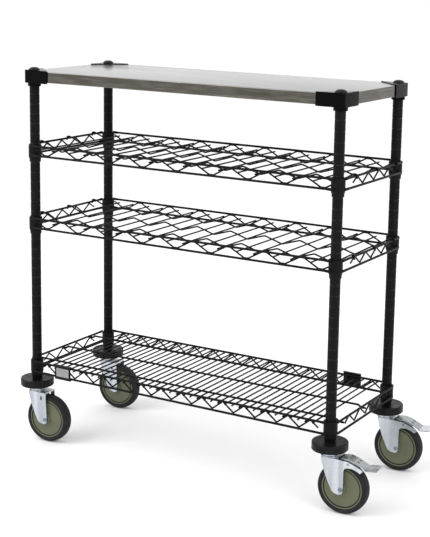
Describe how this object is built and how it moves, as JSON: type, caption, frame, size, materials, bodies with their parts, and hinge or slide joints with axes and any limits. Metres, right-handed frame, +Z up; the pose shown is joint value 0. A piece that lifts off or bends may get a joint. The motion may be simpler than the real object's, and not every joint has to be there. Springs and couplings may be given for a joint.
{
  "type": "rolling utility cart",
  "caption": "Rolling wire-shelving cart: grooved posts carry a steel work top, wire bottle-cradle shelves and a flat wire base shelf, on swivel casters with bumpers and foot brakes.",
  "frame": {"origin": "on the floor, under the middle of the whole cart's bounding box", "axes": "+X along the shelves towards the braked casters, +Y from the front to the back, +Z up"},
  "size_m": [1.0482, 0.407, 0.9979],
  "materials": {
    "black_powder_coat": "satin black powder coat",
    "stainless_steel": "brushed",
    "black_corner_plastic": "glossy black",
    "black_cap_plastic": "satin black",
    "black_sleeve_plastic": "satin black",
    "tag_plastic": "black frame with a blank pale grey label",
    "bumper_rubber": "scuffed black",
    "zinc_plate": "bright bluish zinc plate",
    "hub_nylon": "olive grey",
    "tread_rubber": "dark grey"
  },
  "bodies": {
    "frame": {"work_top_pan": "stainless_steel", "cradle_shelf_upper": "black_powder_coat", "cradle_shelf_lower": "black_powder_coat", "base_wire_shelf": "black_powder_coat", "tag_holder_front": "tag_plastic", "tag_holder_back": "tag_plastic", "post_front_left": "black_powder_coat", "post_cap_front_left": "black_cap_plastic", "top_corner_front_left": "black_corner_plastic", "split_sleeve_base_front_left": "black_sleeve_plastic", "split_sleeve_lower_front_left": "black_sleeve_plastic", "split_sleeve_upper_front_left": "black_sleeve_plastic", "split_sleeve_top_front_left": "black_sleeve_plastic", "bumper_front_left": "bumper_rubber", "caster_stem_front_left": "zinc_plate", "post_front_right": "black_powder_coat", "post_cap_front_right": "black_cap_plastic", "top_corner_front_right": "black_corner_plastic", "split_sleeve_base_front_right": "black_sleeve_plastic", "split_sleeve_lower_front_right": "black_sleeve_plastic", "split_sleeve_upper_front_right": "black_sleeve_plastic", "split_sleeve_top_front_right": "black_sleeve_plastic", "bumper_front_right": "bumper_rubber", "caster_stem_front_right": "zinc_plate", "post_back_left": "black_powder_coat", "post_cap_back_left": "black_cap_plastic", "top_corner_back_left": "black_corner_plastic", "split_sleeve_base_back_left": "black_sleeve_plastic", "split_sleeve_lower_back_left": "black_sleeve_plastic", "split_sleeve_upper_back_left": "black_sleeve_plastic", "split_sleeve_top_back_left": "black_sleeve_plastic", "bumper_back_left": "bumper_rubber", "caster_stem_back_left": "zinc_plate", "post_back_right": "black_powder_coat", "post_cap_back_right": "black_cap_plastic", "top_corner_back_right": "black_corner_plastic", "split_sleeve_base_back_right": "black_sleeve_plastic", "split_sleeve_lower_back_right": "black_sleeve_plastic", "split_sleeve_upper_back_right": "black_sleeve_plastic", "split_sleeve_top_back_right": "black_sleeve_plastic", "bumper_back_right": "bumper_rubber", "caster_stem_back_right": "zinc_plate"},
    "swivel_front_left": {"caster_fork_front_left": "zinc_plate", "caster_axle_front_left": "zinc_plate"},
    "wheel_front_left": {"wheel_hub_front_left": "hub_nylon", "wheel_tyre_front_left": "tread_rubber"},
    "swivel_front_right": {"caster_fork_front_right": "zinc_plate", "caster_axle_front_right": "zinc_plate"},
    "wheel_front_right": {"wheel_hub_front_right": "hub_nylon", "wheel_tyre_front_right": "tread_rubber"},
    "brake_front_right": {"brake_pedal_front_right": "zinc_plate"},
    "swivel_back_left": {"caster_fork_back_left": "zinc_plate", "caster_axle_back_left": "zinc_plate"},
    "wheel_back_left": {"wheel_hub_back_left": "hub_nylon", "wheel_tyre_back_left": "tread_rubber"},
    "swivel_back_right": {"caster_fork_back_right": "zinc_plate", "caster_axle_back_right": "zinc_plate"},
    "wheel_back_right": {"wheel_hub_back_right": "hub_nylon", "wheel_tyre_back_right": "tread_rubber"},
    "brake_back_right": {"brake_pedal_back_right": "zinc_plate"}
  },
  "joints": [
    {"name": "caster_swivel_front_left", "type": "hinge", "parent": "frame", "child": "swivel_front_left", "pos_m": [-0.48029, -0.159, 0.141], "axis": [0, 0, 1], "continuous": true},
    {"name": "wheel_spin_front_left", "type": "hinge", "parent": "swivel_front_left", "child": "wheel_front_left", "pos_m": [-0.44238, -0.15635, 0.06311], "axis": [-0.0698, 0.9976, 0], "continuous": true},
    {"name": "caster_swivel_front_right", "type": "hinge", "parent": "frame", "child": "swivel_front_right", "pos_m": [0.39571, -0.159, 0.141], "axis": [0, 0, 1], "continuous": true},
    {"name": "wheel_spin_front_right", "type": "hinge", "parent": "swivel_front_right", "child": "wheel_front_right", "pos_m": [0.43362, -0.15635, 0.06311], "axis": [-0.0698, 0.9976, 0], "continuous": true},
    {"name": "brake_press_front_right", "type": "hinge", "parent": "swivel_front_right", "child": "brake_front_right", "pos_m": [0.45058, -0.15516, 0.12811], "axis": [-0.0698, 0.9976, 0], "range_deg": [0, 10]},
    {"name": "caster_swivel_back_left", "type": "hinge", "parent": "frame", "child": "swivel_back_left", "pos_m": [-0.48029, 0.159, 0.141], "axis": [0, 0, 1], "continuous": true},
    {"name": "wheel_spin_back_left", "type": "hinge", "parent": "swivel_back_left", "child": "wheel_back_left", "pos_m": [-0.44238, 0.16165, 0.06311], "axis": [-0.0698, 0.9976, 0], "continuous": true},
    {"name": "caster_swivel_back_right", "type": "hinge", "parent": "frame", "child": "swivel_back_right", "pos_m": [0.39571, 0.159, 0.141], "axis": [0, 0, 1], "continuous": true},
    {"name": "wheel_spin_back_right", "type": "hinge", "parent": "swivel_back_right", "child": "wheel_back_right", "pos_m": [0.43362, 0.16165, 0.06311], "axis": [-0.0698, 0.9976, 0], "continuous": true},
    {"name": "brake_press_back_right", "type": "hinge", "parent": "swivel_back_right", "child": "brake_back_right", "pos_m": [0.45058, 0.16284, 0.12811], "axis": [-0.0698, 0.9976, 0], "range_deg": [0, 10]}
  ]
}
